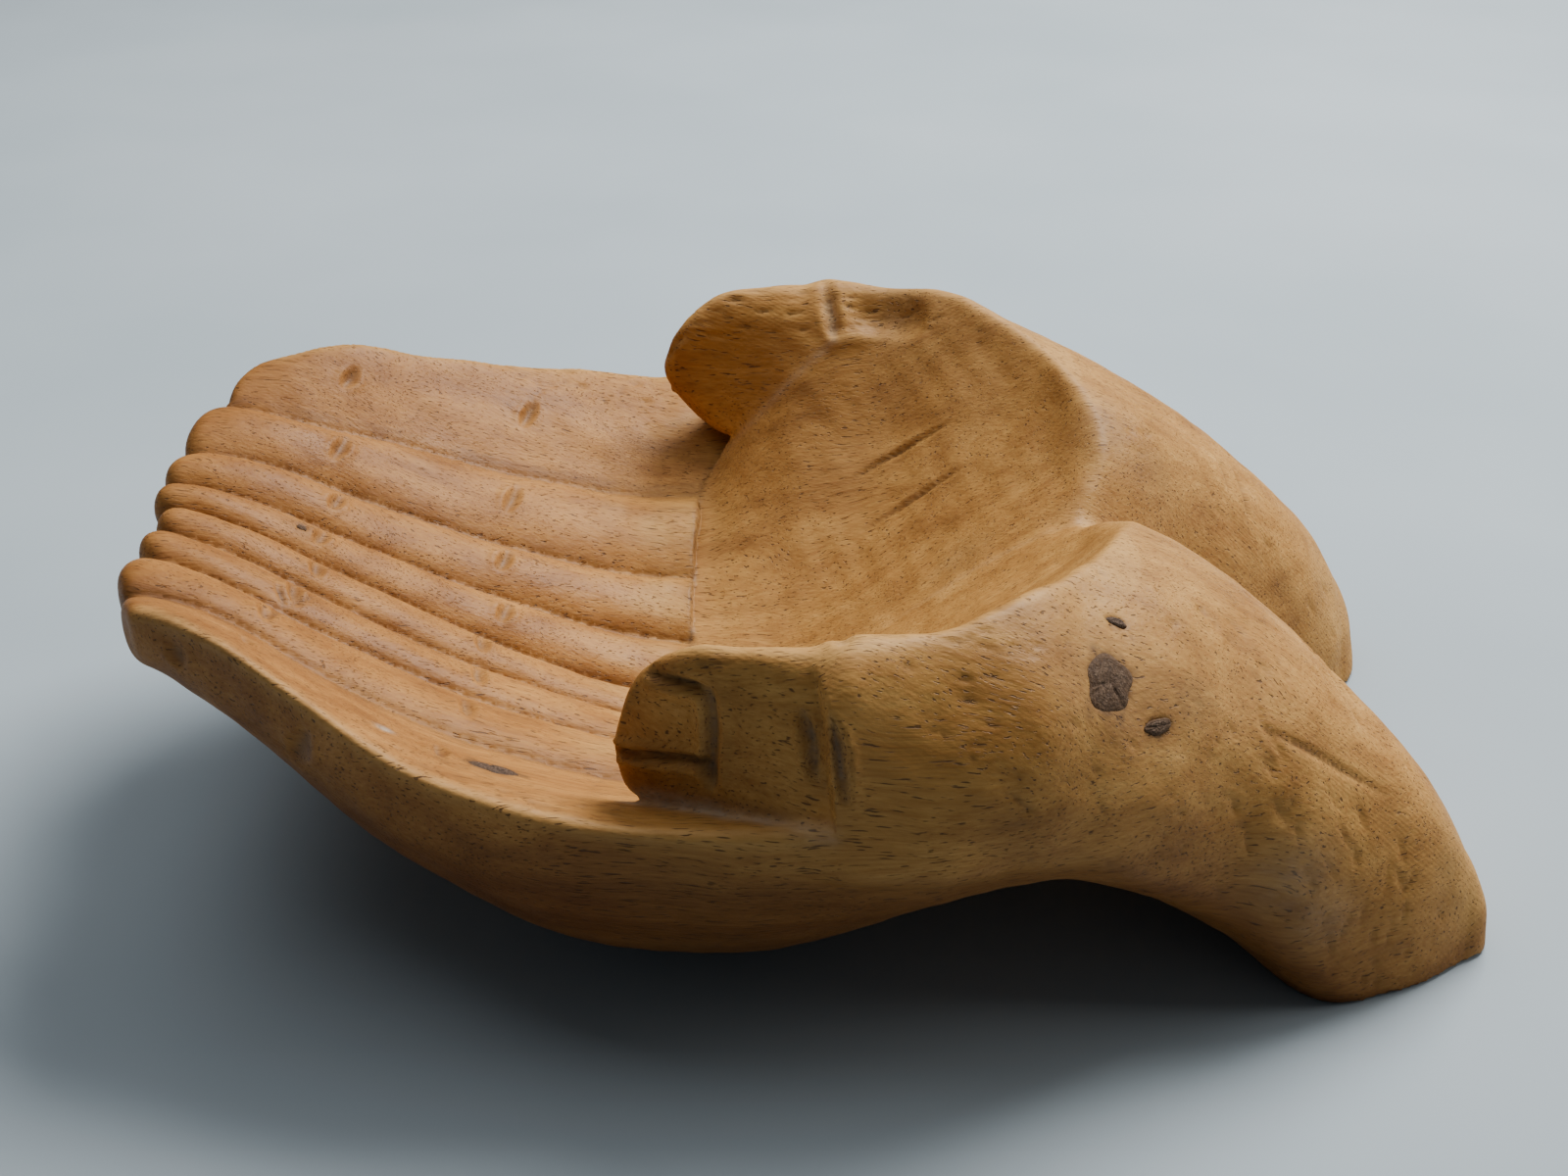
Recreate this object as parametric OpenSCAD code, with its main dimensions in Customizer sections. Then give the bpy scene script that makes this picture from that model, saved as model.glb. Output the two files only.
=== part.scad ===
// Bowl in the shape of two cupped hands, carved from one block of hardwood.
// Millimetres, +Z up. The bowl stands on the flat under the palms and on the
// two cut wrists, all at Z = 0. The fingertips point along -X.

/* [Overall] */
// Length over all, from the fingertips to the wrist ends
bowl_length = 308; // [277:1:338]
// Smoothness of the round wrists and thumbs
round_facets = 28; // [20:4:32]

/* [Fingers] */
// Depth of the grooves carved between the fingers
groove_depth = 3.6; // [2:0.1:4.5]
// Roundness of the finger backs, higher is flatter with sharper grooves
groove_power = 2.2; // [1.6:0.1:3]
// Depth of the scallops between the fingertips
tip_scallop = 3.2; // [1:0.1:5]
// How much further the far hand's fingertips reach than the near hand's
far_tip_reach = 3; // [0:0.5:4]

/* [Palms] */
// Height of the step where the palms stand above the finger roots
palm_step = 3.0; // [1:0.5:5]
// Depth of the carved heart line and head line in each palm
palm_line_depth = 1.0; // [0.5:0.1:1.6]

/* [Thumbs] */
// Height of the thumb's back above the table
thumb_height = 94.5; // [90:0.5:97]
// Radius of the rounded thumb back
thumb_r = 8.5; // [7:0.5:10]

/* [Wrists] */
// Width of each wrist near its cut foot
wrist_w = 68; // [62:1:74]
// Rise of the heel of each hand over its widest line
heel_rise = 39; // [36:0.5:42]

/* [Knots] */
// Length of the large knot on the near heel
heel_knot_l = 15; // [10:0.5:18]
// Width of the large knot on the near heel
heel_knot_w = 12.5; // [8:0.5:14]
// Depth of the large knot
heel_knot_depth = 12; // [6:1:16]
// Length of the knot on the near index finger
finger_knot_l = 11.5; // [7:0.5:13]
// Width of the knot on the near index finger
finger_knot_w = 7.5; // [5:0.5:9]
// Depth of the knot on the near index finger
finger_knot_depth = 6; // [4:0.5:8]
// Diameter of the pin knot on the far little finger
pin_knot_d = 2.4; // [1.6:0.2:4]

/* [Hidden] */
k = bowl_length / 308;
// stations run from the fingertips (-151) to the wrist ends (+157.3)
x_mid = 3.1;
wood = [0.66, 0.43, 0.22];
knot_dark = [0.27, 0.17, 0.11];
knot_grey = [0.36, 0.27, 0.22];

// half width of the bowl at its widest level: [station, half width]
HALF_W = [[-150,58],[-140,66],[-130,72],[-117,79.5],[-97,91],[-75,104],[-56,111],[-36,114],[-19,116.5],[9,118],[20,117],[34,113],[50,105],[66,94],[76,82],[84,60]];
// height of that widest level
SIDE_Z = [[-150,77],[-140,78],[-130,79],[-117,77],[-97,70],[-75,62],[-56,58],[-36,56],[-19,56],[9,58],[30,58],[50,56],[72,52],[84,52]];
// height of the keel under the middle; below zero means a flat foot
KEEL_Z = [[-150,65],[-130,57],[-117,48],[-91,28],[-66,13],[-50,3],[-38,-3],[-20,-6],[0,-5],[12,0],[31,12],[56,28],[72,38],[84,46]];
// fullness of the under side
SEC_N = [[-150,3],[-130,2.6],[-91,2.5],[-40,2.3],[10,2.2],[84,2.2]];
// top of the uncut block
LID_Z = [[-150,100],[-20,100],[3,98],[9,74],[14,70],[60,70],[72,68],[80,58]];
// finger dish: height along the middle, height at the rim, and how it rises between
DISH_Z = [[-150,75.5],[-140,74],[-128,69.5],[-110,60],[-90,49],[-70,39],[-45,28],[-23,22.5],[-10,22]];
RIM_Z = [[-150,80],[-140,83],[-117,84],[-97,76.5],[-75,68],[-56,64],[-36,60.5],[-19,60],[9,60]];
RISE_P = [[-150,1.6],[-113,1.9],[-70,1.35],[-22,1.1],[0,1.1]];
// grooves between the fingers, distance from the middle
G1 = [[-150,12],[-110,15],[-70,18],[-23,20]];
G2 = [[-150,27],[-110,33],[-70,38],[-23,42]];
G3 = [[-150,50],[-118,52],[-103,58],[-89,62],[-60,67],[-20,72]];
// palm: height along the middle and rise at 82 mm from it
PALM_Z = [[-30,25],[-12,26.5],[0,29],[12,34.5],[18,38],[29,45.5],[37,51.5],[45,57],[53,62],[64,69],[72,74],[90,84]];
PALM_R = [[-30,22],[-18,25],[-10,33],[3,42],[12,41],[24,37],[36,35],[48,36.5],[58,38.5],[66,43],[74,58],[90,80]];
// where the palms end and the fingers begin: [distance from the middle, station]
STEP_X = [[0,-23],[60,-23],[77,-21],[82,-17],[90,-6],[115,9.5],[130,12]];
// heel of each hand and its wrist, a rounded section at each station:
// distance of its centre from the middle, height of the centre, half width out
// and in, height over and under
ARM_C = [[0,51],[24,52],[45,55],[60,55],[75,51],[92,47],[110,51],[128,58],[150,66]];
ARM_E = [[0,61],[24,61],[45,61],[60,55],[75,44],[92,33],[110,17],[128,-1],[150,-24]];
ARM_OUT = [[0,68],[24,67],[45,59],[60,56],[75,54],[92,50],[110,45],[128,32],[138,25],[150,15]];
ARM_IN = [[0,60],[60,56],[75,53],[86,46],[97,39],[108,37],[119,35],[128,34],[150,32]];
ARM_UP = [[0,38],[24,38],[45,40],[60,39],[75,44],[92,47],[110,51],[128,52],[150,56]];
ARM_DN = [[0,34],[24,34],[45,31],[60,25],[75,21],[92,25],[110,25],[128,24],[150,24]];
// fingertips: [distance from the middle, station, half width]
TIPS = [[6,-147.5,6.5],[19,-148,8],[37.5,-147,12],[58,-142,10.5]];

// smooth curve through a table's points
function sl(T,i) = (T[i+1][1]-T[i][1]) / (T[i+1][0]-T[i][0]);
function tn(T,i) = i <= 0 ? sl(T,0) : i >= len(T)-1 ? sl(T,len(T)-2) :
    let (a = T[i][0]-T[i-1][0], b = T[i+1][0]-T[i][0]) (sl(T,i-1)*b + sl(T,i)*a) / (a+b);
function seg(T,x,i=0) = i >= len(T)-2 || x < T[i+1][0] ? i : seg(T,x,i+1);
function sm(T,x) =
    let (q = min(max(x,T[0][0]),T[len(T)-1][0]), i = seg(T,q), h = T[i+1][0]-T[i][0],
         t = (q-T[i][0])/h, a = t*t, b = a*t)
    (2*b-3*a+1)*T[i][1] + (b-2*a+t)*h*tn(T,i) + (3*a-2*b)*T[i+1][1] + (b-a)*h*tn(T,i+1);

// the dish of the eight fingers and the concave palms, as heights of the carved surface
function wave(t) = -groove_depth * pow(abs(2*t-1), groove_power);
function grooves(x,d) =
    let (a = sm(G1,x), b = sm(G2,x), c = sm(G3,x), e = 2*(sm(HALF_W,x)+3)-c)
    d < a ? wave(d/a) : d < b ? wave((d-a)/(b-a)) : d < c ? wave((d-b)/(c-b)) : wave(min((d-c)/(e-c),1));
function dish_z(x,d) =
    let (s = min(d/sm(HALF_W,x),1.1), lo = sm(DISH_Z,x))
    lo + (sm(RIM_Z,x)-lo)*pow(s,sm(RISE_P,x)) + grooves(x,d) + groove_depth/2;
function palm_z(x,d) = sm(PALM_Z,x) + sm(PALM_R,x)*(0.86*pow(d/82,2)+0.14*d/82) + palm_step - 3;

// a closed solid through rings that have the same number of points
module skin(rings) {
    n = len(rings[0]);
    m = len(rings);
    polyhedron(points = [for (r = rings) for (p = r) p],
        faces = concat([[for (j = [0:n-1]) j]],
            [[for (j = [n-1:-1:0]) (m-1)*n+j]],
            [for (i = [0:m-2]) for (j = [0:n-1]) [i*n+j, (i+1)*n+j, (i+1)*n+(j+1)%n]],
            [for (i = [0:m-2]) for (j = [0:n-1]) [i*n+j, (i+1)*n+(j+1)%n, i*n+(j+1)%n]]),
        convexity = 10);
}

// under side and outer sides, before the hollow is carved
hull_x = [-153,-149,-145,-139,-132,-124,-116,-108,-99,-90,-81,-72,-63,-54,-45,-36,-28,-20,-12,-5,2,9,14,20,27,34,42,50,58,66,73,78];
hull_n = 26;
function hull_ring(x) =
    let (w = sm(HALF_W,x), z = sm(SIDE_Z,x), b = z-sm(KEEL_Z,x), n = 2/sm(SEC_N,x))
    concat([for (j = [hull_n:-1:0]) let (a = 180*j/hull_n, c = cos(a))
        [x, w*sign(c)*pow(abs(c),n), z - b*pow(max(sin(a),0),n)]],
        [[x, w, max(sm(LID_Z,x), z+4)], [x, -w, max(sm(LID_Z,x), z+4)]]);
module block_hull() { skin([for (x = hull_x) hull_ring(x)]); }

// what the carver hollows out
cut_u = [0,0.06,0.12,0.18,0.24,0.3,0.36,0.42,0.48,0.54,0.6,0.66,0.72,0.78,0.84,0.9,0.95,1];
cut_p = [0,0.05,0.11,0.18,0.25,0.32,0.39,0.46,0.53,0.6,0.67,0.74,0.81,0.88,0.94,1];
function cut_cols(x) =
    let (a = sm(G1,x), b = sm(G2,x), c = sm(G3,x), w = sm(HALF_W,x)+3)
    [0, a*0.25, a*0.5, a*0.75, a, a+(b-a)*0.17, a+(b-a)*0.5, a+(b-a)*0.83, b,
     b+(c-b)*0.13, b+(c-b)*0.36, b+(c-b)*0.64, b+(c-b)*0.87, c,
     c+(w-c)*0.12, c+(w-c)*0.34, c+(w-c)*0.56, c+(w-c)*0.78, w, 126];
function cut_row(u, palm) =
    let (xa = palm ? -22.8 + u*(95+22.8) : -156 + u*(156-23.2), ds = cut_cols(min(xa,-23)))
    [for (d = ds) let (xs = sm(STEP_X,d), x = palm ? xs+0.2 + u*(95-xs-0.2) : -156 + u*(xs-0.2+156))
        [x, d, palm ? palm_z(x,d) : dish_z(x,d)]];
function both(r) = let (n = len(r)) concat(
    [for (j = [n-1:-1:1]) [r[j][0], -r[j][1], r[j][2]]], r,
    [[r[n-1][0], r[n-1][1], 150], [r[n-1][0], -r[n-1][1], 150]]);
module hollow() {
    skin(concat([for (u = cut_u) both(cut_row(u,false))], [for (u = cut_p) both(cut_row(u,true))]));
}

// heel of the hand and the wrist that runs down to its foot
module ball(p, r, wide=1) {
    translate(p) scale([1,wide,1]) sphere(r=r, $fn = r < 5 ? 8 : r < 12 ? 16 : round_facets);
}
arm_x = [12,20,28,36,44,52,60,68,76,84,92,100,108,116,123,130,136,142,147,151,154,156,157.4];
arm_n = 30;
function arm_ring(x) =
    let (c = sm(ARM_C,x), e = sm(ARM_E,x), f = 1 + (wrist_w/68-1)*min(max((x-75)/45,0),1),
         o = sm(ARM_OUT,x)*f, i = sm(ARM_IN,x), u = sm(ARM_UP,x)*(1 + (heel_rise/39-1)*min(max((110-x)/50,0),1)), v = sm(ARM_DN,x),
         t = max(x-118,0)/40, q = pow(1-pow(t,3.4),1/3.4), n = 2/2.25)
    [for (j = [0:arm_n-1]) let (a = 360*j/arm_n, p = cos(a), r = sin(a))
        [x, c + q*(p > 0 ? o : i)*sign(p)*pow(abs(p),n), e + q*(r > 0 ? u : v)*sign(r)*pow(abs(r),n)]];
module arm() { skin([for (x = arm_x) arm_ring(x)]); }
// thumb along the rim, its tip standing free over the index finger
module thumb() {
    t = thumb_height - thumb_r;
    hull() {
        ball([-26,94.5,t-1.5], thumb_r); ball([-33,91.5,72], 4);
        ball([-33,92,60], 3.5); ball([-17,86,55], 4);
        ball([9,100,t], thumb_r); ball([9,111.5,61], 4); ball([9,87,66], 4);
    }
    hull() {
        ball([9,100,t], thumb_r); ball([9,111.5,61], 4); ball([9,87,66], 4);
        ball([34,90,t+1], thumb_r); ball([36,100,66], 10); ball([30,88,76], 4);
    }
}
// plan outline of the scalloped fingertips
function tip_x(d) = min([for (t = TIPS) t[1] + tip_scallop*pow(min(max((d-t[0])/t[2],-1.6),1.6),2)]);
module tips_plan() {
    polygon(concat([for (i = [-38:38]) [tip_x(abs(i)*1.8) - (i > 0 ? far_tip_reach : i < 0 ? 0 : far_tip_reach/2), i*1.8]], [[-135,126],[200,126],[200,-126],[-135,-126]]));
}

// carved lines of the palm: start, end
module palm_line(a, b) {
    hull() for (p = [a, (a+b)/2, b])
        translate([p[0], p[1], palm_z(p[0], p[1]) + 2.2 - palm_line_depth]) sphere(r=2.2, $fn=8);
}

module uncut() {
    difference() {
        union() {
            block_hull();
            arm();
            mirror([0,1,0]) arm();
        }
        hollow();
        for (s = [0,1]) mirror([0,s,0]) {
            palm_line([16,53], [44,54]);
            palm_line([19,38], [46,39]);
        }
    }
    thumb();
    mirror([0,1,0]) thumb();
}
module hands_solid() {
    intersection() {
        uncut();
        linear_extrude(height=140) tips_plan();
    }
}

// a knot is a tapered plug, its axis square to the carved surface
module plug(p, tilt, turn, l, w, depth) {
    translate(p) rotate([0,0,turn]) rotate([0,tilt,0]) rotate([0,0,-turn]) scale([l/2,w/2,1])
        translate([0,0,-depth]) cylinder(h=depth+4, r1=0.75, r2=1+1/depth, $fn=24);
}
module heel_plug() { plug([63.6,-94.1,81.6], 43, -49, heel_knot_w, heel_knot_l, heel_knot_depth); }
module finger_plug() { plug([-58.9,-87.6,57.7], 28, 53, finger_knot_l, finger_knot_w, finger_knot_depth); }
module eye_upper_plug() { plug([66.5,-79.7,87.3], 29, -38, 5.5, 2.6, 5); }
module eye_lower_plug() { plug([74.1,-95.4,72.6], 56, -51, 8, 3.4, 5); }
module pin_plug() { plug([-116,7.2,65.3], 29, -6, pin_knot_d, pin_knot_d, 4); }
module knot(col) {
    color(col) scale(k) translate([-x_mid,0,0]) intersection() { hands_solid(); children(); }
}

module carved_hands() {
    color(wood) scale(k) translate([-x_mid,0,0]) difference() {
        hands_solid();
        heel_plug();
        finger_plug();
        eye_upper_plug();
        eye_lower_plug();
        pin_plug();
    }
}
module knot_heel() { knot(knot_dark) heel_plug(); }
module knot_index_finger() { knot(knot_grey) finger_plug(); }
module knot_eye_upper() { knot(knot_grey) eye_upper_plug(); }
module knot_eye_lower() { knot(knot_dark) eye_lower_plug(); }
module pin_knot_finger() { knot(knot_dark) pin_plug(); }

carved_hands();
knot_heel();
knot_index_finger();
knot_eye_upper();
knot_eye_lower();
pin_knot_finger();
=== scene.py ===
import math
import bpy
import bmesh
import numpy as np
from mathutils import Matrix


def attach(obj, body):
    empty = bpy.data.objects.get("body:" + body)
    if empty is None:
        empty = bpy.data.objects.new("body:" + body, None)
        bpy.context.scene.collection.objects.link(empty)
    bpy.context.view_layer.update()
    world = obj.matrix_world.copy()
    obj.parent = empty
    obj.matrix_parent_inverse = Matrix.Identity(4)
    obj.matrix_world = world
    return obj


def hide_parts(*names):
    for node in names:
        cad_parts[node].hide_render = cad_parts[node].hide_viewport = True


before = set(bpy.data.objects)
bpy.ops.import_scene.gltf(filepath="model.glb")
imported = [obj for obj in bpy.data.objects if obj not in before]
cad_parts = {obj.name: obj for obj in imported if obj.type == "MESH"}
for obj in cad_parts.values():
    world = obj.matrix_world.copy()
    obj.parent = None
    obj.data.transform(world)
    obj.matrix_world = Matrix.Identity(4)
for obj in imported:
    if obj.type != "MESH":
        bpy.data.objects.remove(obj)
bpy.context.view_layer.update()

import openvdb
from mathutils import Vector

# The form is worked out in millimetres in a station frame: X runs from the
# fingertips (-148) to the wrist ends (+158), d is the distance from the middle
# plane, Z is up from the table. SHIFT takes it to the middle of the CAD box.
SHIFT = 3.1

# --- form begin
import numpy as np

LOOK = {}

def sm(T, x):
    """smooth table look-up: cubic between the rows, flat outside its ends"""
    key = tuple(T)
    if key not in LOOK:
        xs, ys = np.asarray(T, float).T
        h = np.diff(xs); s = np.diff(ys) / h
        m = np.zeros(len(xs))
        m[1:-1] = (s[:-1] * h[1:] + s[1:] * h[:-1]) / (h[1:] + h[:-1])
        m[0] = s[0]; m[-1] = s[-1]
        q = np.linspace(xs[0], xs[-1], int((xs[-1] - xs[0]) * 4) + 2)
        i = np.clip(np.searchsorted(xs, q, side='right') - 1, 0, len(xs) - 2)
        t = (q - xs[i]) / h[i]
        t2 = t * t; t3 = t2 * t
        v = ((2*t3 - 3*t2 + 1) * ys[i] + (t3 - 2*t2 + t) * h[i] * m[i]
             + (3*t2 - 2*t3) * ys[i+1] + (t3 - t2) * h[i] * m[i+1])
        LOOK[key] = (xs[0], (len(q) - 1) / (xs[-1] - xs[0]), v, np.r_[np.diff(v), 0.0])
    x0, k, v, dv = LOOK[key]
    f = np.clip((np.asarray(x, float) - x0) * k, 0, len(v) - 1.0)
    i = f.astype(np.int32)
    return v[i] + dv[i] * (f - i)

def smax(a, b, k):
    h = np.maximum(k - np.abs(a - b), 0.0) / k
    return np.maximum(a, b) + h * h * k * 0.25

def smin(a, b, k):
    return -smax(-a, -b, k)

def sstep(a, b, x):
    t = np.clip((x - a) / (b - a), 0, 1)
    return t * t * (3 - 2 * t)

# bowl side of the fingers: half width, height of the widest line, keel, squareness
HALF_W = [(-150,58),(-140,66),(-130,72),(-117,79.5),(-97,91),(-75,104),(-56,111),(-36,114),(-19,115.5),(9,116),(30,115.5),(50,110.5),(66,101),(84,90)]
SIDE_Z = [(-150,77),(-140,78),(-130,79),(-117,77),(-97,70),(-75,62),(-56,58),(-36,56),(-19,56),(9,58),(30,59),(50,58),(72,52),(84,52)]
KEEL_Z = [(-150,65),(-130,57),(-117,48),(-91,28),(-66,13),(-50,3),(-38,-3),(-20,-6),(0,-5),(12,0),(31,12),(56,28),(72,38),(84,46)]
SEC_N  = [(-150,3.0),(-130,2.6),(-91,2.5),(-40,2.3),(10,2.2),(84,2.2)]
DOME_H = [(-160,600),(-40,600),(-20,300),(4,110),(14,66),(24,50),(60,44),(84,40)]
# bowl of the fingers and the palms
DISH_Z = [(-150,75.5),(-140,74),(-128,69.5),(-110,60),(-90,49),(-70,39),(-45,28),(-23,22.5),(-10,22)]
RIM_Z  = [(-150,80),(-140,83),(-117,84),(-97,76.5),(-75,68),(-56,64),(-36,60.5),(-19,60),(9,60)]
RISE_P = [(-150,1.6),(-113,1.9),(-70,1.35),(-22,1.1),(0,1.1)]
PALM_Z = [(-30,25),(-12,26.5),(0,29),(12,34.5),(18,38),(29,45.5),(37,51.5),(45,57),(53,62),(64,69),(72,74),(90,84)]
PALM_R = [(-30,22),(-18,25),(-10,33),(3,42),(12,41),(24,37),(36,35),(48,36.5),(58,38.5),(66,43),(74,58),(90,80)]
# one finger division line per table
G1 = [(-150,12),(-110,15),(-70,18),(-23,20)]
G2 = [(-150,27),(-110,33),(-70,38),(-23,42)]
G3 = [(-150,50),(-118,52),(-103,58),(-89,62),(-60,67),(-20,72)]

def strip(X, d):
    g1, g2, g3 = sm(G1, X), sm(G2, X), sm(G3, X)
    g4 = sm(HALF_W, X) + 3
    lo = np.where(d < g1, 0, np.where(d < g2, g1, np.where(d < g3, g2, g3)))
    hi = np.where(d < g1, g1, np.where(d < g2, g2, np.where(d < g3, g3, 2*g4 - g3)))
    return np.clip((d - lo) / np.maximum(hi - lo, 1e-6), 0, 1)

def z_dish(X, d):
    s = np.clip(d / sm(HALF_W, X), 0, 1.1)
    z0, zr, p = sm(DISH_Z, X), sm(RIM_Z, X), sm(RISE_P, X)
    a = np.abs(2 * strip(X, d) - 1)
    return z0 + (zr - z0) * s ** p - 3.8 * a ** 2.4 + 1.8

def z_palm(X, d):
    return sm(PALM_Z, X) + sm(PALM_R, X) * ((d / 82.0) ** 2 * 0.86 + 0.14 * np.sqrt(d*d + 4) / 82.0)

STEP_X = [(0,-23),(60,-23),(77,-21),(82,-17),(90,-6),(115,9.5),(130,12)]

def z_cav(X, d):
    return np.where(X < sm(STEP_X, d), z_dish(X, d), z_palm(X, d))

def hull(X, d, Z):
    hw, zm, zb, n, hd = sm(HALF_W, X), sm(SIDE_Z, X), sm(KEEL_Z, X), sm(SEC_N, X), sm(DOME_H, X)
    b = zm - zb
    w = np.where(Z < zm, (zm - Z) / b, (Z - zm) / hd)
    r = ((d / hw) ** n + w ** n) ** (1 / n)
    return (r - 1) * np.minimum(hw, b) * 0.8

# palm heel and wrist, one section per station: centre, its height, half widths
# out and in, heights over and under
A_C  = [(0,51),(24,52),(45,55),(60,55),(75,51),(92,47),(110,51),(128,58),(150,66)]
A_E  = [(0,61),(24,61),(45,61),(60,55),(75,44),(92,33),(110,17),(128,-1),(150,-24)]
A_WO = [(0,55),(12,59.5),(24,62.2),(45,57.5),(60,55),(75,53),(92,49),(110,44),(128,31),(138,24),(150,14)]
A_WI = [(0,60),(60,56),(75,53),(86,46),(97,39),(108,37),(119,35),(128,34),(150,32)]
A_HU = [(0,38),(24,38),(45,39.5),(60,38.5),(75,44),(92,47),(110,50.5),(128,52),(150,56)]
A_HD = [(0,34),(24,34),(45,31),(60,25),(75,21),(92,25),(110,25),(128,24),(150,24)]

def arm(X, d, Z):
    c, e, wo, wi, hu, hd = [sm(T, X) for T in (A_C, A_E, A_WO, A_WI, A_HU, A_HD)]
    z = Z - e
    h = np.where(z > 0, hu, hd)
    w = np.where(d > c, wo, wi)
    n = 2.25
    r = (np.abs((d - c) / w) ** n + np.abs(z / h) ** n) ** (1 / n)
    t = np.maximum(X - 118, 0) / 39.6
    r = (r ** 3.4 + t ** 3.4) ** (1 / 3.4)
    return (r - 1) * np.minimum(w, np.minimum(hu, hd)) * 0.9

T_OUT_LO = [(-40,90),(-34,93),(-15,103),(9,113.7),(30,113),(50,108)]
T_OUT_HI = [(-40,93),(-34,96),(-19,101),(-9,103.5),(9,106.5),(28,101),(50,88)]
T_IN_HI = [(-34,92),(-19,94),(3,95),(20,93),(36,88),(50,80)]
T_TOP = [(-40,62),(-36,72),(-32,81.5),(-28,88),(-22,93.5),(-16,96),(-9,96),(9,95),(28,93.5),(40,94),(55,93)]

def thumb(X, d, Z):
    lo, hi = sm(T_OUT_LO, X), sm(T_OUT_HI, X)
    out = d - (lo + (hi - lo) * (Z - 58) / 32.0)
    ih = sm(T_IN_HI, X)
    zl = z_palm(X, 82.0 + 0*d)
    inn = (82 + (ih - 82) * np.clip((Z - zl) / np.maximum(92 - zl, 6), -1, 1.3)) - d
    top = Z - sm(T_TOP, X)
    front = -37.6 - X
    slant = ((X + 35.5) * -11.0 + (d - 90.5) * -15.5) / 19.0
    f = smax(smax(out, inn, 7), top, 12)
    f = smax(f, smax(front, slant, 4), 7)
    under = -0.49 * (X + 34.5) - 0.80 * (d - 86) - 0.35 * (Z - 68.5)
    f = smax(f, under, 5)
    f = smax(f, 54 - Z, 4)
    return smax(f, X - 42, 16)

TIPS = [(6.0,-147.5,6.5),(19.0,-148,8.0),(37.5,-147,12.0),(58.0,-142,10.5)]

def tip_front(d):
    best = np.full(np.shape(d), 1e3)
    for c, xt, r in TIPS:
        q = np.clip((d - c) / r, -1.6, 1.6)
        best = np.minimum(best, xt + 3.2 * q * q)
    return best

def F(X, Y, Z):
    d = np.abs(Y)
    h = hull(X, d, Z)
    m = smin(arm(X, d, Z), arm(X, -d, Z), 5)
    top = sm([(-160,130),(-60,130),(-40,95),(24,95),(45,97),(60,94),(72,88),(84,80)], X)
    h2 = smax(h, Z - top, 6)
    h2 = smax(h2, X - 62, 16)
    m = smax(m, (17 - X) * 0.4, 9)
    o = smin(h2, m, 4)
    o = smax(o, (Z - z_cav(X, d)) * 0.75, 2.5)
    th = thumb(X, d, Z)
    th = smax(th, np.where(Y > 0, -0.69 * (X + 34.5) - 0.73 * (Z - 68.5), -60.0), 5)
    o = smin(o, th, 1.5 + 7.0 * sstep(-1, 14, X))
    o = smax(o, tip_front(d) - np.where(Y > 0, 3.0, -0.8) - X, 6)
    return np.maximum(o, -Z)
# --- form end

# --- mesh of the hands: a 1.1 mm grid, then each point moved onto the form
def form_mesh(step=1.1):
    xs = np.arange(-154.0, 161.5, step)
    ys = np.arange(-121.0, 121.6, step)
    zs = np.arange(-3.3, 101.5, step)
    vol = np.empty((len(xs), len(ys), len(zs)), np.float32)
    for i in range(0, len(xs), 24):
        vol[i:i+24] = F(xs[i:i+24, None, None], ys[None, :, None], zs[None, None, :])
    vol = np.clip(vol, -6, 6)
    grid = openvdb.FloatGrid(background=6.0)
    grid.copyFromArray(vol)
    pts, quads = grid.convertToQuads(isovalue=0.0)
    P = pts.astype(np.float64) * step + np.array([xs[0], ys[0], zs[0]])
    return P, quads.astype(np.int64)

def grad(P, e=0.15, f0=None):
    X, Y, Z = P.T
    if f0 is None:
        f0 = F(X, Y, Z)
    return np.stack([F(X+e, Y, Z) - f0, F(X, Y+e, Z) - f0, F(X, Y, Z+e) - f0], 1) / e

def settle(P, rounds=3, cap=0.6):
    for _ in range(rounds):
        f = F(P[:, 0], P[:, 1], P[:, 2])
        g = grad(P, 0.15, f)
        L2 = np.maximum((g * g).sum(1), 0.05)
        move = -f[:, None] * g / L2[:, None]
        n = np.linalg.norm(move, axis=1, keepdims=True)
        P = P + move * np.minimum(1, cap / np.maximum(n, 1e-9))
    return P

def drop_bits(P, quads):
    """keep the one large shell"""
    up = list(range(len(P)))
    def root(i):
        while up[i] != i:
            up[i] = up[up[i]]
            i = up[i]
        return i
    for q in quads.tolist():
        r = root(q[0])
        for k in q[1:]:
            e = root(k)
            if e != r:
                up[e] = r
    lab = np.array([root(i) for i in range(len(P))])
    ids, cnt = np.unique(lab, return_counts=True)
    keep = lab == ids[cnt.argmax()]
    idx = -np.ones(len(P), int)
    idx[keep] = np.arange(keep.sum())
    return P[keep], idx[quads[keep[quads[:, 0]]]]

def relax(P, quads, rounds=2, amount=0.5):
    a = quads.ravel(); b = np.roll(quads, -1, 1).ravel()
    cnt = np.maximum(np.bincount(a, minlength=len(P)), 1)
    for _ in range(rounds):
        mean = np.stack([np.bincount(a, P[b, k], len(P)) for k in range(3)], 1) / cnt[:, None]
        P = P + (mean - P) * amount
    return P

P, quads = form_mesh()
P, quads = drop_bits(P, quads)
P = settle(relax(settle(P, 2), quads, 2, 0.5), 3)
N = grad(P)
N /= np.maximum(np.linalg.norm(N, axis=1, keepdims=True), 1e-9)

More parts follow.
